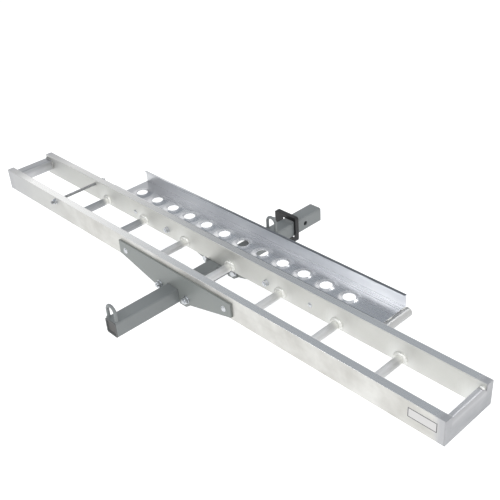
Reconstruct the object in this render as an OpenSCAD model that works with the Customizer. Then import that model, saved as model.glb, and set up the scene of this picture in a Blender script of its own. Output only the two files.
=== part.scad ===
// Hitch-mounted motorcycle carrier: a ladder track on a receiver tube, with a stored loading ramp.
// X runs along the track, +Y points at the towing vehicle, +Z is up, all sizes in millimetres.
// The origin is the centre of the hitch pin hole, on the axis of the hitch tube.

/* [Hitch tube] */
// Outside size of the square hitch tube
tube_size = 50.8; // [45:0.2:60]
// Wall of the hitch tube
tube_wall = 4.8; // [3:0.2:6.4]
// Outside corner radius of the hitch tube
tube_corner_r = 6; // [2:0.5:8]
// Length of the hitch tube
tube_len = 864; // [780:1:960]
// Distance from the receiver end of the tube to the hitch pin
pin_setback = 76; // [50:1:100]
// Diameter of the hitch pin hole
pin_hole_d = 16; // [12:0.5:18]
// Depth of the plug in the outer end of the tube
plug_depth = 14; // [8:1:25]
// How far the plug sits inside the end of the tube
plug_recess = 3; // [1:0.5:6]

/* [Track] */
// Overall length of the track
track_len = 1930; // [1750:10:2050]
// Overall width of the track
track_w = 190; // [170:1:220]
// Distance from the hitch pin to the middle of the track
track_setback = 457; // [430:1:480]
// Width of a side rail
rail_w = 25.4; // [20:0.2:32]
// Height of a side rail
rail_h = 76; // [68:1:90]
// Wall of a side rail
rail_wall = 3; // [2:0.2:4]
// Outside corner radius of the extruded rails
rail_corner_r = 2; // [0.5:0.5:3]
// Thickness of the caps welded over the ends of the rails
rail_cap_t = 3; // [2:0.5:4]

/* [Rungs and end members] */
// Distance between rungs
rung_pitch = 215; // [190:1:225]
// Distance from the tube's axis to the middle rung, towards the right end
middle_rung_x = 72; // [60:1:90]
// Outside diameter of a rung
rung_d = 25.4; // [22:0.2:32]
// Wall of a rung
rung_wall = 3; // [2:0.2:4]
// Gap from the bottom of the rails up to the bottom of the rungs
rung_lift = 2; // [0:0.5:6]
// Size of the square end member at the left end
left_end_size = 38; // [30:1:44]
// Outside corner radius of the left end member
left_end_r = 4; // [1:0.5:6]
// Thickness of the tall end member at the right end, along the track
right_end_w = 19; // [16:0.5:25]
// Radius on the outer top edge of the right end member
right_end_r = 9; // [5:0.5:10]
// Wall of both end members
end_wall = 3; // [2:0.2:4]
// Height of the end members' top above the bottom of the rails
end_top = 63; // [58:1:66]

/* [Stop rod] */
// Diameter of the rod across the wheel bay
stop_rod_d = 10; // [8:0.5:12]
// Distance from the left end of the track to the rod
stop_rod_inset = 325; // [280:1:350]
// Distance from the top of the rails down to the rod's axis
stop_rod_drop = 17; // [15:0.5:22]
// How far the rod stands out past each nut
stop_rod_tail = 7; // [3:0.5:12]

/* [Bracket plates] */
// Thickness of a bracket plate
plate_t = 6; // [4:0.5:8]
// Height of the plate's top edge above the bottom of the rails
plate_top = 57; // [50:1:62]
// Height of the plate's ends, where the slanted lower edge meets them
plate_end_h = 46; // [36:1:48]
// Half of the plate's width where its two feet begin
foot_root_x = 78; // [76:1:90]
// Depth of the plate below the rails where its feet begin
foot_root_drop = 36; // [30:1:40]
// Half of the plate's width at the bottom of its feet
foot_x = 56; // [50:1:60]
// Depth of the feet below the rails
foot_drop = 52; // [46:1:56]
// Clearance between the tube and the notch in each plate
notch_gap = 0.8; // [0.3:0.1:2]
// Diameter of the carriage bolts that hold a plate to its rail
rail_bolt_d = 10; // [8:0.5:12]
// Distance from the right-hand end bolts to the next rung outwards
rail_bolt_rung_gap = 56; // [40:1:70]
// Distance from the end bolts to the end of a plate
rail_bolt_inset = 30; // [18:1:40]
// Height of the end bolts above the bottom of the rails
rail_bolt_z = 28; // [22:1:34]
// Length of bolt that shows past an end bolt's nut
rail_bolt_tail = 3; // [1:0.5:8]

/* [Tube lugs] */
// Leg length of the angle lugs welded to the tube
lug_leg = 50; // [48:1:54]
// Length of the welded leg along the tube
lug_side = 38; // [30:1:44]
// Thickness of a lug
lug_t = 5; // [4:0.5:6]
// Height of a lug
lug_h = 36; // [34:1:40]
// Gap from the bottom of the rails down to the top of a lug
lug_drop = 1; // [0.5:0.5:3]
// Diameter of the bolts through lugs and plates
lug_bolt_d = 12; // [10:0.5:12]
// Distance from the side of the tube to a lug bolt
lug_bolt_out = 38; // [34:0.5:40]
// Depth of a lug bolt below the bottom of the rails
lug_bolt_drop = 21; // [18:0.5:24]
// Length of bolt that shows past a lug bolt's nut
lug_bolt_tail = 5; // [2:0.5:10]

/* [Tie-down loops] */
// Diameter of the bent rod of a tie-down loop
loop_rod_d = 10; // [8:0.5:12]
// Inside width of a loop
loop_inner_w = 28; // [24:1:30]
// Height of a loop above the tube
loop_h = 52; // [42:1:60]
// Distance from the outer end of the tube to the rear loop
rear_loop_inset = 10; // [8:0.5:20]
// Distance from the hitch pin back to the front loop
front_loop_setback = 134; // [128:1:140]

/* [Stabiliser] */
// Thickness of the stabiliser's pressed sheet
stab_t = 3; // [2.5:0.5:4]
// Depth of the stabiliser's rim along the tube
stab_depth = 15; // [14:0.5:20]
// Distance from the hitch pin back to the stabiliser's outer face
stab_setback = 57; // [50:0.5:66]
// Reach of the face past the plain side of the tube
stab_short_side = 8; // [7:0.5:14]
// Reach of the face past the clamp bolt's side of the tube
stab_long_side = 36; // [28:1:40]
// Reach of the face above and below the tube
stab_over = 20; // [16:1:26]
// Outside corner radius of the stabiliser
stab_corner_r = 8; // [5:0.5:10]
// Clearance beside the tube in the stabiliser's window
stab_gap = 0.6; // [0.3:0.1:1.2]
// Clearance above and below the tube in the stabiliser's window
stab_play = 6; // [3:0.5:8]
// Diameter of the clamp bolt
clamp_bolt_d = 8; // [6:0.5:8]

/* [Ramp] */
// Length of the ramp
ramp_len = 1174; // [1150:2:1200]
// Overall width of the ramp
ramp_w = 150; // [140:1:160]
// Height of the ramp's side rails
ramp_side_h = 51; // [46:1:56]
// Wall of the ramp's side rails and deck
ramp_t = 3; // [2:0.2:3.4]
// Width of the lip along the top of each side rail
ramp_lip = 8; // [5:0.5:12]
// Outside radius between a side rail and its lip
ramp_lip_r = 2; // [0.5:0.5:2.5]
// Height of the ramp's bottom edge above the bottom of the track rails
ramp_lift = 6; // [0:0.5:10]
// Depth of the deck's top below the top of the side rails
deck_drop = 41; // [37:0.5:43]
// Distance from the middle of the track to the ramp's right end
ramp_right_x = 593; // [580:1:610]
// Length of the cut at the lower right corner of each side rail
ramp_cut_len = 8; // [6:1:20]
// Height of the cut at the lower right corner of each side rail
ramp_cut_h = 10; // [8:1:26]
// Outside diameter of the hook tube across the ramp's end
hook_d = 28; // [24:0.5:32]
// Wall of the hook tube
hook_wall = 2.5; // [2:0.1:3.4]
// Distance from the ramp's end to the hook tube's axis
hook_out = 8; // [4:0.5:10]
// Distance between flared holes, of which the deck has as many as fit
flare_pitch = 88; // [82:1:92]
// Distance from the left end of the deck to the first hole, and least distance from the right end
flare_inset = 64; // [50:1:70]
// Diameter of a flared hole at its rim
flare_hole_d = 38; // [30:1:42]
// Diameter of the raised flare where it leaves the deck
flare_base_d = 76; // [70:1:80]
// Height of a flare above the deck
flare_h = 5; // [4:0.5:8]

/* [Ramp storage] */
// Diameter of the two storage bolts
stow_bolt_d = 8; // [6:0.5:10]
// Distance from the left storage bolt to the second rung, inwards
stow_bolt_rung_gap = 46; // [30:1:70]
// Gap between the stored ramp and the bolt heads on the front bracket plate
stow_gap = 2; // [1:0.5:10]
// Radius that a wing nut sweeps
wing_r = 13; // [11:0.5:14]
// Gap between a turning wing nut and the deck
wing_gap = 2.5; // [1:0.5:4]
// Height of a wing nut's hub
wing_hub_h = 9; // [7:0.5:11]
// Length of bolt that shows past a wing nut's hub
stow_bolt_tail = 4; // [2:0.5:8]

/* [Hidden] */

// The rungs are nodes of their own, so their count is fixed
rung_count = 7;
// Facets of true round features, and the reach of cutting bodies past a face
round_fn = 64;
cut = 1;
// Clearance round a bolt in a hole, round a shaft that a nut turns on, and between stacked pieces
bolt_gap = 0.3;
thread_gap = 0.05;
seat_gap = 0.2;
// Metric hardware as shares of the bolt's diameter: flats, nut and head heights, washers, domed heads
flats_k = 1.7;
nut_k = 0.8;
head_k = 0.65;
washer_d_k = 2.1;
washer_t_k = 0.18;
dome_d_k = 2;
dome_h_k = 0.45;

// Heights of the track, which rests on top of the tube
rail_z0 = tube_size / 2;
rail_z1 = rail_z0 + rail_h;
// Outer and inner faces of the track
rear_y = -track_setback - track_w / 2;
front_y = -track_setback + track_w / 2;
bay_w = track_w - 2 * rail_w;
left_x = -track_len / 2;
right_x = track_len / 2;
rung_z = rail_z0 + rung_lift + rung_d / 2;
middle_rung = (rung_count + 1) / 2;
stop_rod_x = left_x + stop_rod_inset;
stop_rod_z = rail_z1 - stop_rod_drop;
end_z1 = rail_z0 + end_top;

// Ends of the tube, and its bore
tube_y1 = pin_setback;
tube_y0 = pin_setback - tube_len;
tube_bore = tube_size - 2 * tube_wall;
tube_bore_r = max(tube_corner_r - tube_wall, 0.5);

// Lug bolts, and the height of the carriage bolts' axes
lug_bolt_x = tube_size / 2 + lug_bolt_out;
lug_bolt_z = rail_z0 - lug_bolt_drop;
rail_bolt_axis_z = rail_z0 + rail_bolt_z;
rail_bolt_x = rung_x(middle_rung + 1) - rail_bolt_rung_gap;
plate_half = rail_bolt_x + rail_bolt_inset;

// Faces of the stabiliser and its clamp bolt
stab_y0 = -stab_setback;
stab_y1 = stab_y0 + stab_depth;
stab_x0 = -tube_size / 2 - stab_long_side;
stab_x1 = tube_size / 2 + stab_short_side;
stab_half_h = tube_size / 2 + stab_over;
clamp_y = (stab_y0 + stab_t + stab_y1) / 2;
clamp_nut_t = clamp_bolt_d * nut_k;
clamp_tail = 6;

// Faces and heights of the stored ramp, which clears the bolt heads on the front plate
ramp_y0 = front_y + plate_t + rail_bolt_d * dome_h_k + stow_gap;
ramp_y1 = ramp_y0 + ramp_w;
ramp_z0 = rail_z0 + ramp_lift;
ramp_x0 = ramp_right_x - ramp_len;
deck_up = ramp_side_h - deck_drop;
deck_z0 = ramp_z0 + deck_up - ramp_t;
deck_z1 = deck_z0 + ramp_t;
flare_count = floor((ramp_len - 2 * flare_inset) / flare_pitch) + 1;
hook_r = hook_d / 2;
hook_x = ramp_right_x + hook_out;
// The hook tube touches the lower edge of the deck's end
hook_z = deck_z0 - sqrt(hook_r * hook_r - hook_out * hook_out);
stow_bolt_x = stow_bolt_rung_gap - rung_x(2);
stow_z = deck_z1 + wing_r + wing_gap;
stow_washer_t = stow_bolt_d * washer_t_k;
wing_y0 = ramp_y0 + ramp_t + stow_washer_t + seat_gap;

// A rectangle with round corners, centred
module round_rect(w, h, r) {
    square([w - 2 * r, h], center = true);
    square([w, h - 2 * r], center = true);
    for (sx = [-1, 1], sz = [-1, 1])
        translate([sx * (w / 2 - r), sz * (h / 2 - r)])
            circle(r = r, $fn = round_fn);
}

// The section of a rectangular tube, centred
module box_section(w, h, wall, r) {
    difference() {
        round_rect(w, h, r);
        round_rect(w - 2 * wall, h - 2 * wall, max(r - wall, 0.5));
    }
}

// Stands a flat outline, drawn in X and Z, up as a plate from y0 towards +Y
module plate_y(y0, t) {
    translate([0, y0 + t, 0])
        rotate([90, 0, 0])
            linear_extrude(t)
                children();
}

// Runs a section, drawn in Y and Z, along X from x0
module run_x(x0, len) {
    translate([x0, 0, 0])
        rotate([90, 0, 90])
            linear_extrude(len)
                children();
}

// A round bar along Y from y0 to y1
module bar_y(x, y0, y1, z, d) {
    translate([x, y1, z])
        rotate([90, 0, 0])
            cylinder(d = d, h = y1 - y0, $fn = round_fn);
}

// A ring along Y from y0 to y1, for washers and sleeves
module ring_y(x, y0, y1, z, d, bore) {
    difference() {
        bar_y(x, y0, y1, z, d);
        bar_y(x, y0 - cut, y1 + cut, z, bore);
    }
}

// A hexagon across flats af, as a bar along Y from y0 to y1
module hex_y(x, y0, y1, z, af) {
    translate([x, y1, z])
        rotate([90, 30, 0])
            cylinder(d = af / cos(30), h = y1 - y0, $fn = 6);
}

// A hexagon nut along Y from y0, bored for a bolt of diameter d
module nut_y(x, y0, z, d) {
    difference() {
        hex_y(x, y0, y0 + d * nut_k, z, d * flats_k);
        bar_y(x, y0 - cut, y0 + d * nut_k + cut, z, d + 2 * thread_gap);
    }
}

// The domed head of a carriage bolt on the face y, standing out towards side (-1 or 1)
module dome_y(x, y, z, d, side) {
    head_r = d * dome_d_k / 2;
    head_h = d * dome_h_k;
    ball_r = (head_r * head_r + head_h * head_h) / (2 * head_h);
    translate([x, y, z])
        rotate([-90 * side, 0, 0])
            rotate_extrude($fn = round_fn)
                intersection() {
                    square([head_r, head_h]);
                    translate([0, head_h - ball_r])
                        circle(r = ball_r, $fn = 2 * round_fn);
                }
}

// One side rail of the track, with its rear face at y0 and its bolt holes
module track_rail(y0) {
    difference() {
        translate([0, y0 + rail_w / 2, rail_z0 + rail_h / 2])
            run_x(left_x + rail_cap_t, track_len - 2 * rail_cap_t)
                box_section(rail_w, rail_h, rail_wall, rail_corner_r);
        for (side = [-1, 1])
            bar_y(side * rail_bolt_x, y0 - cut, y0 + rail_w + cut, rail_bolt_axis_z,
                rail_bolt_d + 2 * bolt_gap);
        bar_y(stop_rod_x, y0 - cut, y0 + rail_w + cut, stop_rod_z, stop_rod_d + 2 * bolt_gap);
    }
}

module rear_rail() {
    color("gainsboro") track_rail(rear_y);
}

module front_rail() {
    color("gainsboro")
        difference() {
            track_rail(front_y - rail_w);
            for (side = [-1, 1])
                bar_y(side * stow_bolt_x, front_y - rail_w - cut, front_y + cut, stow_z,
                    stow_bolt_d + 2 * bolt_gap);
        }
}

// Flat caps that close the four ends of the rails, ground flush with them
module rail_end_caps() {
    color("gainsboro")
        for (x = [left_x, right_x - rail_cap_t], y = [rear_y, front_y - rail_w])
            translate([0, y + rail_w / 2, rail_z0 + rail_h / 2])
                run_x(x, rail_cap_t)
                    round_rect(rail_w, rail_h, rail_corner_r);
}

// The square tube across the left end, level with the right end member's top
module left_end_member() {
    color("silver")
        translate([left_x + left_end_size / 2, 0, end_z1 - left_end_size / 2])
            plate_y(-track_setback - bay_w / 2, bay_w)
                box_section(left_end_size, left_end_size, end_wall, left_end_r);
}

// Outline of the tall right end member, with its outer top edge well rounded
module right_end_outline(w, h, r) {
    translate([-w, 0])
        square([w - r, h]);
    translate([-w, 0])
        square([w, h - r]);
    translate([-r, h - r])
        circle(r = r, $fn = round_fn);
}

module right_end_member() {
    inner_w = right_end_w - 2 * end_wall;
    color("silver")
        plate_y(-track_setback - bay_w / 2, bay_w)
            translate([right_x, rail_z0])
                difference() {
                    right_end_outline(right_end_w, end_top, right_end_r);
                    translate([-end_wall, end_wall])
                        right_end_outline(inner_w, end_top - 2 * end_wall, right_end_r - end_wall);
                }
}

// Place of rung number i along the track, counted from the left. The bolts keep clear of the rungs.
function rung_x(i) = middle_rung_x + (i - middle_rung) * rung_pitch;

module rung(i) {
    y0 = -track_setback - bay_w / 2;
    color("lightgray")
        ring_y(rung_x(i), y0, y0 + bay_w, rung_z, rung_d, rung_d - 2 * rung_wall);
}

// The threaded rod that stops the front wheel, bolted through both rails
module stop_rod() {
    reach = stop_rod_d * (washer_t_k + nut_k) + stop_rod_tail;
    color("dimgray")
        bar_y(stop_rod_x, rear_y - reach, front_y + reach, stop_rod_z, stop_rod_d);
}

module stop_rod_washers() {
    t = stop_rod_d * washer_t_k;
    color("silver")
        for (y = [rear_y - t, front_y])
            ring_y(stop_rod_x, y, y + t, stop_rod_z, stop_rod_d * washer_d_k,
                stop_rod_d + 2 * bolt_gap);
}

module stop_rod_nuts() {
    t = stop_rod_d * washer_t_k;
    color("silver") {
        nut_y(stop_rod_x, rear_y - t - stop_rod_d * nut_k, stop_rod_z, stop_rod_d);
        nut_y(stop_rod_x, front_y + t, stop_rod_z, stop_rod_d);
    }
}

// Outline of a bracket plate: a long trapezoid with two feet astride the tube
module bracket_outline() {
    half = plate_half;
    notch_x = tube_size / 2 + notch_gap;
    translate([0, rail_z0])
        polygon([
            [-half, plate_top], [half, plate_top], [half, plate_top - plate_end_h],
            [foot_root_x, -foot_root_drop], [foot_x, -foot_drop], [notch_x, -foot_drop],
            [notch_x, 0], [-notch_x, 0], [-notch_x, -foot_drop],
            [-foot_x, -foot_drop], [-foot_root_x, -foot_root_drop],
            [-half, plate_top - plate_end_h]]);
}

// A bracket plate with its four bolt holes, its rear face at y0
module bracket_plate(y0) {
    difference() {
        plate_y(y0, plate_t)
            bracket_outline();
        for (side = [-1, 1]) {
            bar_y(side * rail_bolt_x, y0 - cut, y0 + plate_t + cut, rail_bolt_axis_z,
                rail_bolt_d + 2 * bolt_gap);
            bar_y(side * lug_bolt_x, y0 - cut, y0 + plate_t + cut, lug_bolt_z,
                lug_bolt_d + 2 * bolt_gap);
        }
    }
}

module rear_bracket_plate() {
    color("slategray") bracket_plate(rear_y - plate_t);
}

module front_bracket_plate() {
    color("slategray") bracket_plate(front_y);
}

// Carriage bolts through plates and rails, domed heads outside
module bracket_rail_bolts() {
    grip = plate_t + rail_w + rail_bolt_d * (washer_t_k + nut_k) + rail_bolt_tail;
    color("silver")
        for (side = [-1, 1]) {
            bar_y(side * rail_bolt_x, rear_y - plate_t, rear_y - plate_t + grip,
                rail_bolt_axis_z, rail_bolt_d);
            dome_y(side * rail_bolt_x, rear_y - plate_t, rail_bolt_axis_z, rail_bolt_d, -1);
            bar_y(side * rail_bolt_x, front_y + plate_t - grip, front_y + plate_t,
                rail_bolt_axis_z, rail_bolt_d);
            dome_y(side * rail_bolt_x, front_y + plate_t, rail_bolt_axis_z, rail_bolt_d, 1);
        }
}

module bracket_rail_washers() {
    t = rail_bolt_d * washer_t_k;
    color("silver")
        for (side = [-1, 1], y = [rear_y + rail_w, front_y - rail_w - t])
            ring_y(side * rail_bolt_x, y, y + t, rail_bolt_axis_z, rail_bolt_d * washer_d_k,
                rail_bolt_d + 2 * bolt_gap);
}

module bracket_rail_nuts() {
    t = rail_bolt_d * washer_t_k;
    color("silver")
        for (side = [-1, 1], y = [rear_y + rail_w + t, front_y - rail_w - t - rail_bolt_d * nut_k])
            nut_y(side * rail_bolt_x, y, rail_bolt_axis_z, rail_bolt_d);
}

// An angle lug: one leg welded to the side of the tube, one bolted flat behind a bracket plate.
// face_y is the plate's inner face, side is the tube's side and back points away from the plate.
module lug(face_y, side, back) {
    z1 = rail_z0 - lug_drop;
    x_leg = side > 0 ? tube_size / 2 : -tube_size / 2 - lug_leg;
    x_side = side > 0 ? tube_size / 2 : -tube_size / 2 - lug_t;
    y_leg = back > 0 ? face_y : face_y - lug_t;
    y_side = back > 0 ? face_y : face_y - lug_side;
    color("dimgray")
        difference() {
            union() {
                translate([x_leg, y_leg, z1 - lug_h])
                    cube([lug_leg, lug_t, lug_h]);
                translate([x_side, y_side, z1 - lug_h])
                    cube([lug_t, lug_side, lug_h]);
            }
            bar_y(side * lug_bolt_x, y_leg - cut, y_leg + lug_t + cut, lug_bolt_z,
                lug_bolt_d + 2 * bolt_gap);
        }
}

module rear_left_lug() {
    lug(rear_y, -1, 1);
}

module rear_right_lug() {
    lug(rear_y, 1, 1);
}

module front_left_lug() {
    lug(front_y, -1, -1);
}

module front_right_lug() {
    lug(front_y, 1, -1);
}

// A hexagon bolt of diameter d along Y: its head starts at y and points to side, its shank away
module hex_bolt_y(x, y, z, d, shank, side) {
    head = d * head_k;
    if (side > 0) {
        bar_y(x, y - shank, y + head / 2, z, d);
        hex_y(x, y, y + head, z, d * flats_k);
    } else {
        bar_y(x, y - head / 2, y + shank, z, d);
        hex_y(x, y - head, y, z, d * flats_k);
    }
}

// Hexagon bolts through lugs and plates: heads inside, nuts outside
module lug_bolts() {
    t = lug_bolt_d * washer_t_k;
    grip = lug_t + plate_t + 2 * t + lug_bolt_d * nut_k + lug_bolt_tail;
    color("silver")
        for (side = [-1, 1]) {
            hex_bolt_y(side * lug_bolt_x, rear_y + lug_t + t, lug_bolt_z, lug_bolt_d, grip, 1);
            hex_bolt_y(side * lug_bolt_x, front_y - lug_t - t, lug_bolt_z, lug_bolt_d, grip, -1);
        }
}

module lug_washers() {
    t = lug_bolt_d * washer_t_k;
    faces = [rear_y + lug_t, rear_y - plate_t - t, front_y - lug_t - t, front_y + plate_t];
    color("silver")
        for (side = [-1, 1], y = faces)
            ring_y(side * lug_bolt_x, y, y + t, lug_bolt_z, lug_bolt_d * washer_d_k,
                lug_bolt_d + 2 * bolt_gap);
}

module lug_nuts() {
    t = lug_bolt_d * washer_t_k;
    color("silver")
        for (side = [-1, 1]) {
            nut_y(side * lug_bolt_x, rear_y - plate_t - t - lug_bolt_d * nut_k, lug_bolt_z,
                lug_bolt_d);
            nut_y(side * lug_bolt_x, front_y + plate_t + t, lug_bolt_z, lug_bolt_d);
        }
}

// The square receiver tube with its hitch pin hole
module hitch_tube() {
    color("gray")
        difference() {
            plate_y(tube_y0, tube_len)
                box_section(tube_size, tube_size, tube_wall, tube_corner_r);
            translate([-tube_size / 2 - cut, 0, 0])
                rotate([0, 90, 0])
                    cylinder(d = pin_hole_d, h = tube_size + 2 * cut, $fn = round_fn);
        }
}

module tube_end_plug() {
    color("rosybrown")
        plate_y(tube_y0 + plug_recess, plug_depth)
            round_rect(tube_bore, tube_bore, tube_bore_r);
}

// A bent rod loop standing on the tube at y, for a strap's hook
module tie_down_loop(y) {
    bend_r = (loop_inner_w + loop_rod_d) / 2;
    leg_h = loop_h - bend_r - loop_rod_d / 2;
    color("gray")
        translate([0, y, tube_size / 2]) {
            for (side = [-1, 1])
                translate([side * bend_r, 0, 0])
                    cylinder(d = loop_rod_d, h = leg_h, $fn = round_fn);
            translate([0, 0, leg_h])
                rotate([90, 0, 0])
                    rotate_extrude(angle = 180, $fn = round_fn)
                        translate([bend_r, 0])
                            circle(d = loop_rod_d, $fn = round_fn);
        }
}

module rear_tie_down_loop() {
    tie_down_loop(tube_y0 + rear_loop_inset);
}

module front_tie_down_loop() {
    tie_down_loop(-front_loop_setback);
}

// Outline of the stabiliser, drawn in X and Z, drawn in by inset all round
module stabiliser_outline(inset) {
    w = stab_x1 - stab_x0 - 2 * inset;
    h = 2 * stab_half_h - 2 * inset;
    translate([(stab_x0 + stab_x1) / 2, 0])
        round_rect(w, h, stab_corner_r - inset);
}

// The pressed bracket that stiffens the receiver joint: a face with a rim turned towards the car
module stabiliser_bracket() {
    color([0.12, 0.12, 0.13])
        difference() {
            plate_y(stab_y0, stab_depth)
                stabiliser_outline(0);
            plate_y(stab_y0 + stab_t, stab_depth)
                stabiliser_outline(stab_t);
            plate_y(stab_y0 - cut, stab_depth)
                square([tube_size + 2 * stab_gap, tube_size + 2 * stab_play], center = true);
            bar_x(stab_x0 - cut, stab_x0 + stab_t + cut, clamp_bolt_d + 2 * bolt_gap);
        }
}

// A round bar along X on the clamp bolt's axis
module bar_x(x0, x1, d) {
    translate([x0, clamp_y, 0])
        rotate([0, 90, 0])
            cylinder(d = d, h = x1 - x0, $fn = round_fn);
}

// A hexagon along X on the clamp bolt's axis, flats facing the car
module hex_x(x0, x1, af) {
    translate([x0, clamp_y, 0])
        rotate([0, 90, 0])
            cylinder(d = af / cos(30), h = x1 - x0, $fn = 6);
}

// Nut welded outside the rim, that the clamp bolt runs in
module stabiliser_nut() {
    color("silver")
        difference() {
            hex_x(stab_x0 - clamp_nut_t, stab_x0, clamp_bolt_d * flats_k);
            bar_x(stab_x0 - clamp_nut_t - cut, stab_x0 + cut, clamp_bolt_d + 2 * thread_gap);
        }
}

// The clamp bolt, with its tip against the side of the tube
module stabiliser_bolt() {
    neck_x = stab_x0 - clamp_nut_t - clamp_tail;
    head = clamp_bolt_d * head_k;
    color("silver") {
        bar_x(neck_x - head / 2, -tube_size / 2 - bolt_gap, clamp_bolt_d);
        hex_x(neck_x - head, neck_x, clamp_bolt_d * flats_k);
    }
}

// Place of flared hole number i along the track, counted from 0
function flare_x(i) = ramp_x0 + flare_inset + i * flare_pitch;

// Wall of one raised flare, turned about its own axis on top of the deck. The sheet bends up from
// the deck in an arc, steeper towards the hole, and its rim is rounded.
module flare_wall() {
    half_t = ramp_t / 2;
    base_r = flare_base_d / 2;
    rim_r = flare_hole_d / 2 + half_t;
    bend = 2 * atan(flare_h / (base_r - rim_r));
    bend_r = (base_r - rim_r) / sin(bend);
    far = 2 * (bend_r + ramp_t);
    rotate_extrude($fn = round_fn) {
        translate([base_r, bend_r - half_t])
            intersection() {
                difference() {
                    circle(r = bend_r + half_t, $fn = round_fn);
                    circle(r = bend_r - half_t, $fn = round_fn);
                }
                polygon([[0, 0], [0, -far], [-far * sin(bend), -far * cos(bend)]]);
            }
        translate([rim_r, flare_h - half_t])
            circle(r = half_t, $fn = round_fn);
        translate([base_r, -ramp_t])
            square([ramp_t, ramp_t]);
    }
}

// The ramp's deck: a sheet welded between the side rails, with a row of holes flared for grip
module ramp_deck() {
    mid_y = (ramp_y0 + ramp_y1) / 2;
    color("lightsteelblue") {
        difference() {
            translate([ramp_x0, ramp_y0 + ramp_t, deck_z0])
                cube([ramp_len, ramp_w - 2 * ramp_t, ramp_t]);
            for (i = [0 : flare_count - 1])
                translate([flare_x(i), mid_y, deck_z0 - cut])
                    cylinder(d = flare_base_d, h = ramp_t + 2 * cut, $fn = round_fn);
        }
        for (i = [0 : flare_count - 1])
            translate([flare_x(i), mid_y, deck_z1])
                flare_wall();
    }
}

// Section of a ramp side rail, drawn in Y and Z from its foot: a web with a lip turned inward
module ramp_side_section() {
    square([ramp_t, ramp_side_h - ramp_lip_r]);
    translate([ramp_lip_r, ramp_side_h - ramp_t])
        square([ramp_lip - ramp_lip_r, ramp_t]);
    translate([ramp_lip_r, ramp_side_h - ramp_lip_r])
        circle(r = ramp_lip_r, $fn = round_fn);
    translate([ramp_lip_r, ramp_side_h - ramp_t])
        square([ramp_t - ramp_lip_r, ramp_t - ramp_lip_r]);
}

// One side rail of the ramp with its foot cut away at the right end, its outer face at y = 0
module ramp_side() {
    color("lightsteelblue")
        difference() {
            run_x(ramp_x0, ramp_len)
                ramp_side_section();
            plate_y(-ramp_t, 3 * ramp_t)
                translate([ramp_right_x, 0])
                    polygon([[-ramp_cut_len, 0], [0, ramp_cut_h], [cut, ramp_cut_h],
                        [cut, -cut], [-ramp_cut_len, -cut]]);
        }
}

// The side rail next to the track, with the holes that hang on the storage bolts
module ramp_rear_side() {
    difference() {
        translate([0, ramp_y0, ramp_z0])
            ramp_side();
        for (side = [-1, 1])
            bar_y(side * stow_bolt_x, ramp_y0 - cut, ramp_y0 + ramp_t + cut, stow_z,
                stow_bolt_d + 2 * bolt_gap);
    }
}

module ramp_front_side() {
    translate([0, ramp_y1, ramp_z0])
        mirror([0, 1, 0])
            ramp_side();
}

// The tube across the ramp's upper end, that hooks over the end member of the track
module ramp_hook_tube() {
    color("gainsboro")
        ring_y(hook_x, ramp_y0, ramp_y1, hook_z, hook_d, hook_d - 2 * hook_wall);
}

// Storage bolts through the front rail, domed heads in the track
module ramp_bolts() {
    y0 = front_y - rail_w;
    y1 = wing_y0 + wing_hub_h + stow_bolt_tail;
    color("silver")
        for (side = [-1, 1]) {
            bar_y(side * stow_bolt_x, y0, y1, stow_z, stow_bolt_d);
            dome_y(side * stow_bolt_x, y0, stow_z, stow_bolt_d, -1);
        }
}

// Sleeves that hold the stored ramp off the rail and the bolt heads
module ramp_spacers() {
    color("silver")
        for (side = [-1, 1])
            ring_y(side * stow_bolt_x, front_y, ramp_y0 - seat_gap, stow_z, stow_bolt_d * 1.8,
                stow_bolt_d + 2 * bolt_gap);
}

module ramp_washers() {
    y0 = ramp_y0 + ramp_t;
    color("silver")
        for (side = [-1, 1])
            ring_y(side * stow_bolt_x, y0, y0 + stow_washer_t, stow_z, stow_bolt_d * washer_d_k,
                stow_bolt_d + 2 * bolt_gap);
}

// A wing nut with two upswept ears, centred on its bolt
module wing_nut(x) {
    hub_d = stow_bolt_d * 1.8;
    ear_t = stow_bolt_d * 0.45;
    ear_d = wing_r - stow_bolt_d / 2;
    ear_rise = wing_hub_h * 0.6;
    color("gainsboro")
        translate([x, wing_y0, stow_z])
            rotate([-90, 0, 0])
                difference() {
                    union() {
                        cylinder(d1 = hub_d, d2 = hub_d * 0.8, h = wing_hub_h, $fn = round_fn);
                        intersection() {
                            for (side = [-1, 1])
                                translate([side * (wing_r - ear_d / 2), ear_t / 2, ear_rise + ear_d / 2])
                                    rotate([90, 0, 0])
                                        cylinder(d = ear_d, h = ear_t, $fn = round_fn);
                            cylinder(r = wing_r, h = 2 * wing_hub_h, $fn = round_fn);
                        }
                    }
                    translate([0, 0, -cut])
                        cylinder(d = stow_bolt_d + 2 * thread_gap, h = 2 * wing_hub_h + 2 * cut,
                            $fn = round_fn);
                }
}

module left_wing_nut() {
    wing_nut(-stow_bolt_x);
}

module right_wing_nut() {
    wing_nut(stow_bolt_x);
}

rear_rail();
front_rail();
rail_end_caps();
left_end_member();
right_end_member();
rung(1);  // rung_1
rung(2);  // rung_2
rung(3);  // rung_3
rung(4);  // rung_4
rung(5);  // rung_5
rung(6);  // rung_6
rung(7);  // rung_7
stop_rod();
stop_rod_nuts();
stop_rod_washers();
rear_bracket_plate();
front_bracket_plate();
bracket_rail_bolts();
bracket_rail_washers();
bracket_rail_nuts();
rear_left_lug();
rear_right_lug();
front_left_lug();
front_right_lug();
lug_bolts();
lug_washers();
lug_nuts();
hitch_tube();
tube_end_plug();
rear_tie_down_loop();
front_tie_down_loop();
stabiliser_bracket();
stabiliser_nut();
stabiliser_bolt();
ramp_deck();
ramp_rear_side();
ramp_front_side();
ramp_hook_tube();
ramp_bolts();
ramp_spacers();
ramp_washers();
left_wing_nut();
right_wing_nut();
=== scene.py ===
import math

import bmesh
import bpy
from mathutils import Matrix, Vector


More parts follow.
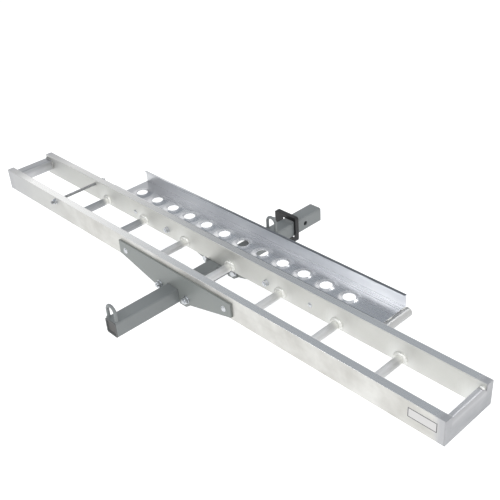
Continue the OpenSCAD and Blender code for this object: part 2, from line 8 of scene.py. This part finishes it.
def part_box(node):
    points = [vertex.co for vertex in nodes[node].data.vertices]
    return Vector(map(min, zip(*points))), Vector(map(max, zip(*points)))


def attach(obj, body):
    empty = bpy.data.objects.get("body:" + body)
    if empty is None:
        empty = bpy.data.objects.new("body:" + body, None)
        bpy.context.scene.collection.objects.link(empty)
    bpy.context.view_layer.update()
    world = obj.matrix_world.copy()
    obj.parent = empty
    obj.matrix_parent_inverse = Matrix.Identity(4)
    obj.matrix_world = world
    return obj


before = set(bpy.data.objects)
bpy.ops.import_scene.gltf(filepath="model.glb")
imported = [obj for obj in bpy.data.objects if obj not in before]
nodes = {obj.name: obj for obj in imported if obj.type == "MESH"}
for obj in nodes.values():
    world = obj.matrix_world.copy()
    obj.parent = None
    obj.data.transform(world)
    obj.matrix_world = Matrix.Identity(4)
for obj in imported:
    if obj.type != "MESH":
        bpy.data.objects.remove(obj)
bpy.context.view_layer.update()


# Rear and front side rails: rectangular aluminium extrusions, 25.4 x 76 mm, with a mill finish.
# The die leaves faint lines along their length. The bracket plates bolt them to the hitch tube.

# The lines' directions lean a hair off the axes, so that no face is quite square to them.
along_track = (1, 0.02, 0.03)
across_track = (0.02, 1, 0.03)


def paint(hex_colour):
    """An sRGB hex colour as the linear colour that a node takes."""
    parts = [int(hex_colour[i:i + 2], 16) / 255 for i in (1, 3, 5)]
    linear = [p / 12.92 if p <= 0.04045 else ((p + 0.055) / 1.055) ** 2.4 for p in parts]
    return (*linear, 1.0)


def add(tree, kind, inputs=(), **settings):
    """Adds one shader node with its settings, and links or fills its inputs."""
    new = tree.nodes.new("ShaderNode" + kind)
    for key, value in settings.items():
        setattr(new, key, value)
    for socket, value in dict(inputs).items():
        if isinstance(value, bpy.types.NodeSocket):
            tree.links.new(value, new.inputs[socket])
        else:
            new.inputs[socket].default_value = value
    return new


def blank_material(name):
    """A new material with an empty node tree and its output node."""
    material = bpy.data.materials.new(name)
    material.use_nodes = True
    material.node_tree.nodes.clear()
    return material, material.node_tree, add(material.node_tree, "OutputMaterial")


def mill_aluminium(name, colour, smudge, along, grain, roughness, groove=0.00006, stretch=0.6,
                   ease=0.0009):
    """Bare extruded or drawn aluminium: lines in the direction along, which smear its reflections
    across them, handling smudges and eased edges. Grain is how many lines and breaks in them lie
    in a metre on each axis, groove their depth and ease the edges' radius, in metres."""
    material, tree, output = blank_material(name)
    place = add(tree, "TexCoord").outputs["Object"]
    stretched = add(tree, "Mapping", {"Vector": place, "Scale": grain}).outputs["Vector"]
    lines = add(tree, "TexNoise", {"Vector": stretched, "Scale": 1.0, "Detail": 3.0,
                                   "Roughness": 0.65})
    # Smudges are about 11 cm across, as hands and gloves leave them.
    clouds = add(tree, "TexNoise", {"Vector": place, "Scale": 9.0, "Detail": 4.0,
                                    "Roughness": 0.55})
    spread = add(tree, "MapRange", {"Value": clouds.outputs["Fac"], "From Min": 0.35,
                                    "From Max": 0.65})
    tint = add(tree, "Mix", {"Factor": spread.outputs["Result"], 6: paint(colour),
                             7: paint(smudge)}, data_type="RGBA")
    gloss = add(tree, "MapRange", {"Value": lines.outputs["Fac"], "From Min": 0.3,
                                   "From Max": 0.7, "To Min": roughness - 0.05,
                                   "To Max": roughness + 0.05})
    eased = add(tree, "Bevel", {"Radius": ease}, samples=4)
    relief = add(tree, "Bump", {"Height": lines.outputs["Fac"], "Strength": 0.5,
                                "Distance": groove, "Normal": eased.outputs["Normal"]})
    length = add(tree, "CombineXYZ", {"X": along[0], "Y": along[1], "Z": along[2]})
    metal = add(tree, "BsdfPrincipled", {"Base Color": tint.outputs[2], "Metallic": 1.0,
                                         "Roughness": gloss.outputs["Result"],
                                         "Anisotropic": stretch, "Anisotropic Rotation": 0.25,
                                         "Tangent": length.outputs["Vector"],
                                         "Normal": relief.outputs["Normal"]})
    tree.links.new(metal.outputs["BSDF"], output.inputs["Surface"])
    return material


def fade(material, axis, start, end):
    """A mask on a material: none of it at start on one of the part's axes, all of it at end."""
    tree = material.node_tree
    axes = add(tree, "SeparateXYZ", {"Vector": add(tree, "TexCoord").outputs["Object"]})
    return add(tree, "MapRange", {"Value": axes.outputs[axis], "From Min": start,
                                  "From Max": end}).outputs["Result"]


def face_mask(material, axis, level):
    """A mask on a material: the flat face at a level on an axis, and what lies beyond it."""
    return fade(material, axis, level - 0.0012, level - 0.0004)


def from_middle(material):
    """How far a point lies from the track's middle line, across it, in metres."""
    tree = material.node_tree
    axes = add(tree, "SeparateXYZ", {"Vector": add(tree, "TexCoord").outputs["Object"]})
    across = add(tree, "Math", {0: axes.outputs["Y"], 1: track_y}, operation="SUBTRACT")
    return add(tree, "Math", {0: across.outputs[0]}, operation="ABSOLUTE").outputs[0]


def rework(material, mask, colour, roughness):
    """Gives a metal another colour and roughness where a mask says it was ground or brushed."""
    tree = material.node_tree
    metal = tree.nodes["Principled BSDF"]
    old_colour = metal.inputs["Base Color"].links[0].from_socket
    old_gloss = metal.inputs["Roughness"].links[0].from_socket
    tint = add(tree, "Mix", {"Factor": mask, 6: old_colour, 7: paint(colour)}, data_type="RGBA")
    gloss = add(tree, "Mix", {"Factor": mask, 2: old_gloss, 3: roughness}, data_type="FLOAT")
    tree.links.new(tint.outputs[2], metal.inputs["Base Color"])
    tree.links.new(gloss.outputs[0], metal.inputs["Roughness"])


def dress(material, *names):
    """Gives CAD nodes their finish."""
    for name in names:
        nodes[name].data.materials.clear()
        nodes[name].data.materials.append(material)


rear_low, rear_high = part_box("rear_rail")
front_low, front_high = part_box("front_rail")
rail_top = rear_high[2]
rail_end = rear_high[0]
rail_faces = (rear_high[1], front_low[1])
track_y = (rear_low[1] + front_high[1]) / 2
half_gap = (rail_faces[1] - rail_faces[0]) / 2

# Die lines run along X. They are really about 0.5 mm apart and are drawn 4 mm apart to show.
rail_metal = mill_aluminium("mill aluminium extrusion, rails", "#DBDAD6", "#C1BFBA",
                            along_track, grain=(1.5, 250, 250), roughness=0.42, stretch=0.5)
# The left third has stood longer in the weather and is duller.
rework(rail_metal, fade(rail_metal, "X", -0.45, -0.85), "#C2C2C0", 0.44)
# Wheels and hands have rubbed the top faces smoother than the sides.
upper = face_mask(rail_metal, "Z", rail_top)
rework(rail_metal, upper, "#EAEAE9", 0.24)
# The front rail's top, beside the ramp, is painted a darker grey over its left two thirds: a
# painted shade.
tree = rail_metal.node_tree
place = add(tree, "TexCoord").outputs["Object"]
axes = add(tree, "SeparateXYZ", {"Vector": place})
on_front = add(tree, "Math", {0: axes.outputs["Y"], 1: front_low[1]}, operation="GREATER_THAN")
front_top = add(tree, "Math", {0: on_front.outputs[0], 1: upper}, operation="MULTIPLY")
leftward = fade(rail_metal, "X", 0.60, 0.10)
beside_ramp = add(tree, "Math", {0: front_top.outputs[0], 1: leftward}, operation="MULTIPLY")
rework(rail_metal, beside_ramp.outputs[0], "#CFCFCE", 0.27)
# The last 10 cm at the left end are stained all round.
rework(rail_metal, fade(rail_metal, "X", -0.80, -0.91), "#BDBDBD", 0.42)
# The front rail's outer face has picked up road film from the vehicle's wheels.
rework(rail_metal, face_mask(rail_metal, "Y", front_high[1]), "#B6B6B5", 0.45)
# Both ends were ground after welding: a duller grey band of upright scratches, about 25 mm wide.
# The scratches are drawn 2 mm apart to show and are 40 mm long. The band's edge wanders with them.
band = 0.022
scratches = add(tree, "Mapping", {"Vector": place, "Scale": (500, 500, 25)})
ragged = add(tree, "TexNoise", {"Vector": scratches.outputs["Vector"], "Scale": 1.0,
                                "Detail": 2.0}).outputs["Fac"]
outward = add(tree, "Math", {0: axes.outputs["X"]}, operation="ABSOLUTE")
outward = add(tree, "Math", {0: ragged, 1: band, 2: outward.outputs[0]},
              operation="MULTIPLY_ADD")
ground = add(tree, "MapRange", {"Value": outward.outputs[0], "From Min": rail_end - band,
                                "From Max": rail_end})
rework(rail_metal, ground.outputs["Result"], "#B9B9BB", 0.46)
# The inner faces, with 2 mm of the top beside them, were rubbed lightly with a wire brush.
inner = add(tree, "Math", {0: from_middle(rail_metal), 1: half_gap + 0.0019},
            operation="LESS_THAN")
rubbed = add(tree, "Math", {0: inner.outputs[0], 1: 0.7}, operation="MULTIPLY")
rework(rail_metal, rubbed.outputs[0], "#D9D9D5", 0.60)
# Round each rung's weld they were brushed clean, in a ring about 30 mm wide. The rungs stand at
# one pitch, so one ring is repeated along X, from 10 cm left of the first rung.
low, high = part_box("rung_1")
rung_z = (low[2] + high[2]) / 2
rung_r = (high[2] - low[2]) / 2
rung_x = (low[0] + high[0]) / 2
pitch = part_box("rung_2")[0][0] - low[0]
past_first = add(tree, "Math", {0: axes.outputs["X"], 1: rung_x}, operation="SUBTRACT")
off_x = add(tree, "Math", {0: past_first.outputs[0], 1: pitch / 2}, operation="PINGPONG")
off_z = add(tree, "Math", {0: axes.outputs["Z"], 1: rung_z}, operation="SUBTRACT")
off = add(tree, "CombineXYZ", {"X": off_x.outputs[0], "Y": 0.0, "Z": off_z.outputs[0]})
far = add(tree, "VectorMath", {0: off.outputs["Vector"]}, operation="LENGTH")
far = add(tree, "Math", {0: ragged, 1: 0.016, 2: far.outputs["Value"]},
          operation="MULTIPLY_ADD")
ring = add(tree, "MapRange", {"Value": far.outputs[0], "From Min": rung_r + 0.048,
                              "From Max": rung_r + 0.014})
clean = add(tree, "Math", {0: inner.outputs[0], 1: ring.outputs["Result"]}, operation="MULTIPLY")
begun = add(tree, "Math", {0: past_first.outputs[0], 1: -0.1}, operation="GREATER_THAN")
clean = add(tree, "Math", {0: clean.outputs[0], 1: begun.outputs[0]}, operation="MULTIPLY")
rework(rail_metal, clean.outputs[0], "#E6E6E3", 0.58)
dress(rail_metal, "rear_rail", "front_rail")


# Rungs: seven lengths of drawn round aluminium tube, welded between the rails. Their lines run
# across the track and smear the light round the tube, so that it looks flat and grey. The lines
# are drawn 4.5 mm apart to show.
rung_names = ["rung_%d" % i for i in range(1, 8)]
rung_metal = mill_aluminium("mill aluminium tube, rungs", "#E3E3E3", "#D9D9DA",
                            across_track, grain=(220, 6, 220), roughness=0.55, stretch=0.85)
# The rungs at the left are painted a duller grey: a painted shade, for the darker reflections they
# show.
rework(rung_metal, fade(rung_metal, "X", -0.08, -0.34), "#B3B5B8", 0.55)
# Both ends were wire-brushed with the welds: 10 mm in full, and less as far as 24 mm.
brushed = add(rung_metal.node_tree, "MapRange", {"Value": from_middle(rung_metal),
                                                 "From Min": half_gap - 0.0236,
                                                 "From Max": half_gap - 0.0096})
rework(rung_metal, brushed.outputs["Result"], "#FAFAF7", 0.50)
dress(rung_metal, *rung_names)


# End members, a square tube at the left and a tall flat tube with a well rounded edge at the
# right, and the caps of the rails' ends. They were ground after welding, which leaves a duller,
# mottled face with scratches across the track, drawn 4 to 6 mm apart to show.
grinding = (260, 14, 160)
scratch_depth = 0.00015
member_metal = mill_aluminium("ground aluminium, left end member", "#CBCBCD", "#B9BABD",
                              across_track, grinding, roughness=0.42, groove=scratch_depth)
# The right member is painted darker than the left: a painted shade, to hold down the rear lamp's
# reflection on it.
end_metal = mill_aluminium("ground aluminium, right end member", "#B4B4B6", "#9E9FA2",
                           across_track, grinding, roughness=0.40, groove=scratch_depth)
# Their upper edges, 10 to 20 mm deep, are given their own grey and made smoother. On the left
# member it is a darker grey, a painted shade against the lamps' reflection there.
for metal, name, colour in ((member_metal, "left_end_member", "#ACADB0"),
                            (end_metal, "right_end_member", "#B6B6B8")):
    member_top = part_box(name)[1][2]
    rework(metal, fade(metal, "Z", member_top - 0.020, member_top - 0.009), colour, 0.34)
    dress(metal, name)
# The caps' corners were rounded with the grinder.
cap_metal = mill_aluminium("ground aluminium, rail end caps", "#B2B2B4", "#9FA0A3",
                           across_track, grinding, roughness=0.42, groove=scratch_depth,
                           ease=0.0022)
dress(cap_metal, "rail_end_caps")


# Weld beads that join each rung to both rails: a rippled fillet round the top and sides of the
# tube, left bare underneath, where the rung comes down to the rail's lower edge.

def bead(curve, points, size, ripple=0.0016):
    """Adds one weld bead to a curve: overlapping puddles along a line of points. Size is its
    radius, and a puddle is one and a half times as long as ripple."""
    spaced = [Vector(points[0])]
    for a, b in zip(points, points[1:]):
        a, b = Vector(a), Vector(b)
        steps = max(1, round((b - a).length / ripple * 2))
        spaced += [a.lerp(b, k / steps) for k in range(1, steps + 1)]
    spline = curve.splines.new("POLY")
    spline.points.add(len(spaced) - 1)
    for k, place in enumerate(spaced):
        spline.points[k].co = (*place, 1.0)
        taper = min(1.0, 0.55 + 0.25 * k, 0.55 + 0.25 * (len(spaced) - 1 - k))
        spline.points[k].radius = size * taper * (1.0 + 0.16 * math.cos(math.pi * k / 1.5))


def bead_curve(name, material, body):
    """An empty curve that beads are added to, as one piece on one body."""
    curve = bpy.data.curves.new(name, "CURVE")
    curve.dimensions = "3D"
    curve.bevel_depth = 1.0
    curve.bevel_resolution = 2
    curve.use_fill_caps = True
    curve.materials.append(material)
    piece = bpy.data.objects.new(name, curve)
    bpy.context.scene.collection.objects.link(piece)
    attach(piece, body)
    return curve


def mottled(name, colour, other, spots, detail, roughness, metallic=0.0, bump=0.0, ease=0.0):
    """A finish of two colours in soft spots, so many to the metre, which stand up where bump is
    given. Ease is the radius of its edges, in metres."""
    material, tree, output = blank_material(name)
    place = add(tree, "TexCoord").outputs["Object"]
    cloud = add(tree, "TexNoise", {"Vector": place, "Scale": spots, "Detail": detail})
    tint = add(tree, "Mix", {"Factor": cloud.outputs["Fac"], 6: paint(colour),
                             7: paint(other)}, data_type="RGBA")
    surface = add(tree, "BsdfPrincipled", {"Base Color": tint.outputs[2],
                                           "Metallic": metallic, "Roughness": roughness})
    if bump:
        relief = add(tree, "Bump", {"Height": cloud.outputs["Fac"], "Strength": bump,
                                    "Distance": 0.0003})
        tree.links.new(relief.outputs["Normal"], surface.inputs["Normal"])
    if ease:
        eased = add(tree, "Bevel", {"Radius": ease}, samples=4)
        tree.links.new(eased.outputs["Normal"], surface.inputs["Normal"])
    tree.links.new(surface.outputs["BSDF"], output.inputs["Surface"])
    return material


def arc(x, y, z, radius, start, sweep, steps):
    """Points round a rung: an arc in the plane of a rail's face, its angles in degrees."""
    angles = [math.radians(start + sweep * step / steps) for step in range(steps + 1)]
    return [(x + radius * math.cos(angle), y, z + radius * math.sin(angle)) for angle in angles]


# Aluminium filler is clean and bright on top of each puddle, and matt with soot between them.
# The soot lies in spots of about 4 mm.
filler = mottled("aluminium weld filler", "#FAFAF6", "#D6D6D2", spots=260.0, detail=3.0,
                 roughness=0.36, metallic=1.0, bump=0.4)
rung_welds = bead_curve("rung_welds", filler, "carrier")
for name in rung_names:
    low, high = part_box(name)
    x = (low[0] + high[0]) / 2
    z = (low[2] + high[2]) / 2
    toe = (high[0] - low[0]) / 2 + 0.0028
    for face, inward in zip(rail_faces, (1, -1)):
        round_rung = arc(x, face + inward * 0.0016, z, toe, start=-22, sweep=224, steps=40)
        bead(rung_welds, round_rung, size=0.0054, ripple=0.0032)
        # A second, shorter pass lies against the right-hand side.
        beside_it = arc(x, face + inward * 0.0008, z, toe + 0.0034, start=-8, sweep=78, steps=14)
        bead(rung_welds, beside_it, size=0.0048, ripple=0.0036)


# Weld beads of the end members: along their top edges and down both sides at each rail.
# The left member's were brushed over and are duller. At the right one the beads run on down the
# rounded edge, as two or three fat puddles.
dull_filler = mottled("aluminium weld filler, brushed over", "#BDBDBB", "#8F8F8D", spots=260.0,
                      detail=3.0, roughness=0.42, metallic=1.0, bump=0.4)
left_welds = bead_curve("left_member_welds", dull_filler, "carrier")
right_welds = bead_curve("right_member_welds", filler, "carrier")
for name, welds in (("left_end_member", left_welds), ("right_end_member", right_welds)):
    low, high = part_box(name)
    inner_x = high[0] if welds is left_welds else low[0]
    for face, inward in zip(rail_faces, (1, -1)):
        y = face + inward * 0.0012
        top_z = high[2] + 0.0008
        bead(welds, [(inner_x, y, low[2] + 0.004), (inner_x, y, high[2] - 0.003)],
             size=0.0042, ripple=0.0024)
        bead(welds, [(low[0] + 0.003, y, top_z), (high[0] - 0.006, y, top_z)],
             size=0.0046, ripple=0.0026)
low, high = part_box("right_end_member")
for face, inward in zip(rail_faces, (1, -1)):
    y = face + inward * 0.0030
    bead(right_welds, [(low[0] + 0.002, y, high[2] + 0.0012),
                       (high[0] - 0.009, y, high[2] - 0.0004),
                       (high[0] - 0.0065, y, high[2] - 0.009),
                       (high[0] - 0.0060, y, high[2] - 0.020)], size=0.0056, ripple=0.0060)


# Stop rod: plain steel threaded rod with an oily grey sheen, held by a nut and washer outside each
# rail. Its crests are painted lighter and its roots darker: a painted highlight and a painted
# shade along the thread.
thread_pitch = 0.0015
thread_depth = 0.0004
thread, tree, output = blank_material("oiled steel threaded rod")
place = add(tree, "TexCoord").outputs["Object"]
along = add(tree, "SeparateXYZ", {"Vector": place}).outputs["Y"]
turns = add(tree, "Math", {0: along, 1: 2 * math.pi / thread_pitch}, operation="MULTIPLY")
ridge = add(tree, "Math", {0: turns.outputs[0]}, operation="SINE")
shade = add(tree, "Mix", {"Factor": ridge.outputs[0], 6: paint("#8B8C8E"), 7: paint("#C6C7C9")},
            data_type="RGBA")
relief = add(tree, "Bump", {"Height": ridge.outputs[0], "Strength": 1.0,
                            "Distance": thread_depth})
metal = add(tree, "BsdfPrincipled", {"Base Color": shade.outputs[2], "Metallic": 1.0,
                                     "Roughness": 0.42, "Normal": relief.outputs["Normal"]})
tree.links.new(metal.outputs["BSDF"], output.inputs["Surface"])
dress(thread, "stop_rod")


# Fasteners: zinc-plated steel bolts, nuts, washers, sleeves and wing nuts. Bright zinc with a
# faint blue cast and a crystalline mottle, which is really finer and is drawn about 5 mm across.
zinc = mottled("bright zinc plate", "#DADCDF", "#B0B3B7", spots=180.0, detail=3.0,
               roughness=0.24, metallic=1.0, ease=0.0006)
dress(zinc, "stop_rod_nuts", "stop_rod_washers", "bracket_rail_bolts", "bracket_rail_washers",
      "bracket_rail_nuts", "lug_bolts", "lug_washers", "lug_nuts", "stabiliser_nut",
      "stabiliser_bolt", "ramp_bolts", "ramp_spacers", "ramp_washers", "left_wing_nut",
      "right_wing_nut")


# Hitch tube, bracket plates, lugs and tie-down loops: steel with a grey powder coat, which gives
# a satin sheen with a fine orange peel and a soft edge at each corner.

def powder_coat(name, colour, worn, roughness=0.40, coat=0.25, shine=0.5):
    """Baked powder paint on steel. Its orange peel is about 2 mm from one hump to the next."""
    material, tree, output = blank_material(name)
    place = add(tree, "TexCoord").outputs["Object"]
    clouds = add(tree, "TexNoise", {"Vector": place, "Scale": 7.0, "Detail": 3.0})
    tint = add(tree, "Mix", {"Factor": clouds.outputs["Fac"], 6: paint(colour),
                             7: paint(worn)}, data_type="RGBA")
    peel = add(tree, "TexNoise", {"Vector": place, "Scale": 1 / 0.002, "Detail": 1.0})
    eased = add(tree, "Bevel", {"Radius": 0.0012}, samples=4)
    relief = add(tree, "Bump", {"Height": peel.outputs["Fac"], "Strength": 0.35,
                                "Distance": 0.0002, "Normal": eased.outputs["Normal"]})
    skin = add(tree, "BsdfPrincipled", {"Base Color": tint.outputs[2], "Roughness": roughness,
                                        "Specular IOR Level": shine, "Coat Weight": coat,
                                        "Coat Roughness": 0.3,
                                        "Normal": relief.outputs["Normal"]})
    tree.links.new(skin.outputs["BSDF"], output.inputs["Surface"])
    return material


loop_names = ("rear_tie_down_loop", "front_tie_down_loop")
lug_names = ("rear_left_lug", "rear_right_lug", "front_left_lug", "front_right_lug")
tube_low, tube_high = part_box("hitch_tube")
grey_coat = powder_coat("grey powder coat", "#7B7F80", "#686C6C")
# The tube's outer end, about 1 mm deep, is painted nearly black round the plug: a painted shade
# for the recess there.
tree = grey_coat.node_tree
skin = tree.nodes["Principled BSDF"]
painted = skin.inputs["Base Color"].links[0].from_socket
end_shade = fade(grey_coat, "Y", tube_low[1] + 0.0016, tube_low[1] + 0.0006)
shade = add(tree, "Mix", {"Factor": end_shade, 6: painted, 7: paint("#2A2B2B")}, data_type="RGBA")
tree.links.new(shade.outputs[2], skin.inputs["Base Color"])
dress(grey_coat, "hitch_tube", *lug_names, *loop_names)
# The two plates take a copy of the grey coat painted a little lighter: a painted sheen, for the
# glare on them.
plate_coat = powder_coat("light grey powder coat", "#7A7E7C", "#727674")
dress(plate_coat, "rear_bracket_plate", "front_bracket_plate")


# Weld beads on the tube, painted over: a ring round both feet of each tie-down loop, and a bead
# along the upper and lower edge of each lug's welded leg.
tube_welds = bead_curve("hitch_tube_welds", grey_coat, "carrier")
for name in loop_names:
    low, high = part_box(name)
    loop_y = (low[1] + high[1]) / 2
    rod_r = (high[1] - low[1]) / 2
    toe = rod_r + 0.0008
    for foot_x in (low[0] + rod_r, high[0] - rod_r):
        angles = [2 * math.pi * k / 16 for k in range(17)]
        bead(tube_welds, [(foot_x + toe * math.cos(angle), loop_y + toe * math.sin(angle),
                           tube_high[2] + 0.0002) for angle in angles],
             size=0.0022, ripple=0.0022)
for name in lug_names:
    low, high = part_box(name)
    side = -1 if "left" in name else 1
    leg_x = side * (tube_high[0] + 0.0054)
    for z in (high[2], low[2]):
        bead(tube_welds, [(leg_x, low[1] + 0.003, z), (leg_x, high[1] - 0.003, z)],
             size=0.0024, ripple=0.0022)


# Plug in the tube's outer end: moulded polyethylene, pressed into the tube. It is a dull
# charcoal with scuffs about 8 mm across.
plug = mottled("moulded polyethylene plug", "#504F4E", "#464544", spots=120.0, detail=5.0,
               roughness=0.55, bump=0.3)
dress(plug, "tube_end_plug")


# Stabiliser: a pressed steel bracket with a black powder coat. It slides on the tube, and its
# clamp bolt pulls the tube against one side of the receiver.
black_coat = powder_coat("black powder coat", "#0E0E10", "#131315", roughness=0.36, coat=0.1,
                         shine=0.35)
dress(black_coat, "stabiliser_bracket")


# Loading ramp: a deck of aluminium sheet with flared holes, welded between two side rails. Bright
# mill finish, which mirrors the cool sky. Its rolling lines are drawn 5 mm apart to show.
rolling = (2.0, 200, 200)
rolling_depth = 0.00003
ramp_metal = mill_aluminium("mill aluminium sheet, ramp", "#ECEDEF", "#E2E3E6", along_track,
                            rolling, roughness=0.32, groove=rolling_depth, stretch=0.3)
# The ramp is lifted by its left end, which has gone duller over the last 15 cm.
rework(ramp_metal, fade(ramp_metal, "X", -0.43, -0.57), "#CCCDCF", 0.34)
# The side rails' outer faces have picked up road film and are duller than the inner ones.
side_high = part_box("ramp_front_side")[1]
rework(ramp_metal, face_mask(ramp_metal, "Y", side_high[1]), "#C3C6CA", 0.38)
# Their upper edges are sheared. They are painted a darker grey, a painted shade along the edge,
# which fades out towards the left end.
lip = fade(ramp_metal, "Z", side_high[2] - 0.0036, side_high[2] - 0.0016)
shaded_lip = add(ramp_metal.node_tree, "Math", {0: lip, 1: fade(ramp_metal, "X", -0.45, -0.10)},
               operation="MULTIPLY")
rework(ramp_metal, shaded_lip.outputs[0], "#787C81", 0.38)
dress(ramp_metal, "ramp_rear_side", "ramp_front_side")
deck_metal = mill_aluminium("mill aluminium sheet, ramp deck", "#DDDEE0", "#D0D1D4",
                            along_track, rolling, roughness=0.27, groove=rolling_depth,
                            stretch=0.3)
rework(deck_metal, fade(deck_metal, "X", -0.33, -0.57), "#B9BABD", 0.30)
dress(deck_metal, "ramp_deck")
# The hook tube is drawn, like the rungs.
hook_metal = mill_aluminium("drawn aluminium tube, ramp hook", "#BDBDBC", "#B2B2B1",
                            across_track, grain=(260, 8, 260), roughness=0.36, stretch=0.4)
dress(hook_metal, "ramp_hook_tube")


# Weld beads of the ramp: three short stitches that join the deck's end to the hook tube, and
# eight along each side under the deck, 25 mm long, that join it to the side rails.
ramp_welds = bead_curve("ramp_welds", filler, "ramp")
deck_low, deck_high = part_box("ramp_deck")
end_x = deck_high[0] + 0.0006
end_z = deck_low[2] + 0.001
half_stitch = 0.009
for y in (deck_low[1] + 0.010, (deck_low[1] + deck_high[1]) / 2, deck_high[1] - 0.010):
    bead(ramp_welds, [(end_x, y - half_stitch, end_z), (end_x, y + half_stitch, end_z)],
         size=0.0024)
under_z = deck_low[2] - 0.0004
for y in (deck_low[1] + 0.0006, deck_high[1] - 0.0006):
    for k in range(8):
        x = deck_low[0] + 0.05 + k * 0.15
        bead(ramp_welds, [(x, y, under_z), (x + 0.025, y, under_z)], size=0.0022)


# Label on the rear rail near its right end: a bare white film with a thin dark border, stuck to
# the outer face.
film = mottled("white vinyl film", "#C9C7C6", "#C3C1C0", spots=60.0, detail=2.0, roughness=0.35)
border = mottled("dark printed border", "#3A3A3C", "#454547", spots=60.0, detail=2.0,
                 roughness=0.40)
film_size = (0.083, 0.0003, 0.030)
film_place = (0.9025, rear_low[1] - film_size[1] / 2, 0.068)
# The border lies 0.8 mm in. Its line is really about 1 mm wide and is drawn 2.2 mm to show.
border_in = 0.0008
border_line = 0.0022
body = bmesh.new()
bmesh.ops.create_cube(body, size=1.0)
bmesh.ops.scale(body, vec=film_size, verts=body.verts)
outer = [face for face in body.faces if face.normal.y < -0.5]
bmesh.ops.inset_region(body, faces=outer, thickness=border_in, use_even_offset=True)
bmesh.ops.inset_region(body, faces=outer, thickness=border_line, use_even_offset=True)
for face in body.faces:
    face.material_index = 0
centre = outer[0]
for edge in centre.edges:
    for face in edge.link_faces:
        if face is not centre:
            face.material_index = 1
bmesh.ops.translate(body, vec=film_place, verts=body.verts)
bmesh.ops.recalc_face_normals(body, faces=body.faces)
mesh = bpy.data.meshes.new("label_film")
body.to_mesh(mesh)
body.free()
mesh.materials.append(film)
mesh.materials.append(border)
label = bpy.data.objects.new("label_film", mesh)
bpy.context.scene.collection.objects.link(label)
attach(label, "carrier")


# Studio: a wide pale floor well below the part, lit a little from beneath so that no hard shadow
# lies on it, and soft boxes.
floor_place = (0, -0.4, -0.34)
floor_mesh = bpy.data.meshes.new("studio_floor")
sheet = bmesh.new()
bmesh.ops.create_grid(sheet, x_segments=1, y_segments=1, size=14.0)
bmesh.ops.translate(sheet, vec=floor_place, verts=sheet.verts)
sheet.to_mesh(floor_mesh)
sheet.free()
floor_paint, tree, output = blank_material("matt white floor")
matt = add(tree, "BsdfPrincipled", {"Base Color": paint("#F2F2F1"), "Roughness": 0.9,
                                    "Emission Color": paint("#FFFFFF"),
                                    "Emission Strength": 0.37})
tree.links.new(matt.outputs["BSDF"], output.inputs["Surface"])
floor_mesh.materials.append(floor_paint)
floor = bpy.data.objects.new("studio_floor", floor_mesh)
bpy.context.scene.collection.objects.link(floor)

# White walls all round and a cool grey ceiling, with a slightly brighter patch overhead. Z on the
# sky is 0 at the horizon and 1 overhead: the ceiling starts at 0.70 to 0.80, about 48 degrees up,
# and comes lower in front and behind on the left. The patch starts at 0.90 to 0.96.
world = bpy.data.worlds.new("white studio")
bpy.context.scene.world = world
world.use_nodes = True
tree = world.node_tree
tree.nodes.clear()
output = add(tree, "OutputWorld")
way = add(tree, "SeparateXYZ", {"Vector": add(tree, "TexCoord").outputs["Generated"]})
side = add(tree, "Math", {0: way.outputs["Y"]}, operation="ABSOLUTE")
slant = add(tree, "MapRange", {"Value": way.outputs["X"], "From Min": -0.2, "From Max": 0.3,
                               "To Min": 0.52, "To Max": 0.0})
height = add(tree, "Math", {0: side.outputs[0], 1: slant.outputs["Result"],
                            2: way.outputs["Z"]}, operation="MULTIPLY_ADD")
ceiling = add(tree, "MapRange", {"Value": height.outputs[0], "From Min": 0.70, "From Max": 0.80})
overhead = add(tree, "MapRange", {"Value": way.outputs["Z"], "From Min": 0.90,
                                  "From Max": 0.96, "To Max": 0.35})
grey = add(tree, "Mix", {"Factor": ceiling.outputs["Result"], 6: paint("#FFFFFF"),
                         7: paint("#A0A5AB")}, data_type="RGBA")
sky = add(tree, "Mix", {"Factor": overhead.outputs["Result"], 6: grey.outputs[2],
                        7: paint("#FFFFFF")}, data_type="RGBA")
power = add(tree, "MapRange", {"Value": way.outputs["Z"], "From Min": 0.90, "From Max": 0.96,
                               "To Min": 1.15, "To Max": 1.2})
glow = add(tree, "Background", {"Color": sky.outputs[2], "Strength": power.outputs["Result"]})
tree.links.new(glow.outputs["Background"], output.inputs["Surface"])


def soft_box(name, place, target, size, power):
    """A square soft box at a place, aimed at a target: its side in metres, its power in watts."""
    lamp = bpy.data.lights.new(name, "AREA")
    lamp.shape = "SQUARE"
    lamp.size = size
    lamp.energy = power
    holder = bpy.data.objects.new(name, lamp)
    bpy.context.scene.collection.objects.link(holder)
    aim = Vector(target) - Vector(place)
    holder.rotation_euler = aim.to_track_quat("-Z", "Y").to_euler()
    holder.location = place


# The large box in front lights the faces towards the camera. The small ones give the glints: the
# left one on edges and beads, and the rear one on the right-hand sides of the flared holes.
soft_box("front_box", (1.6, -3.2, 3.4), (0.1, -0.45, 0), 3.0, 60)
soft_box("left_box", (-0.87, -2.17, 1.9), (0.45, -0.22, 0.06), 0.9, 7)
soft_box("rear_box", (0.70, 1.56, 2.42), (0.35, -0.27, 0.05), 0.7, 8)


# Camera, from the photograph's perspective: fitted to the corners of the tube and the rails. It
# stands to the right of the hitch tube's line and above, turned 48 degrees and looking 32 down.
lens = bpy.data.cameras.new("photo_camera")
lens.lens = 58.19
lens.sensor_width = 36
lens.sensor_fit = "HORIZONTAL"
camera = bpy.data.objects.new("photo_camera", lens)
bpy.context.scene.collection.objects.link(camera)
camera_place = (1.658, -1.7055, 1.4051)
turn = Matrix.Rotation(math.radians(48.47), 4, "Z")
tilt = Matrix.Rotation(math.radians(90 - 32.45), 4, "X")
roll = Matrix.Rotation(math.radians(-4.21), 4, "Z")
camera.matrix_world = Matrix.Translation(camera_place) @ turn @ tilt @ roll
bpy.context.scene.camera = camera
bpy.context.scene.view_settings.view_transform = "Standard"
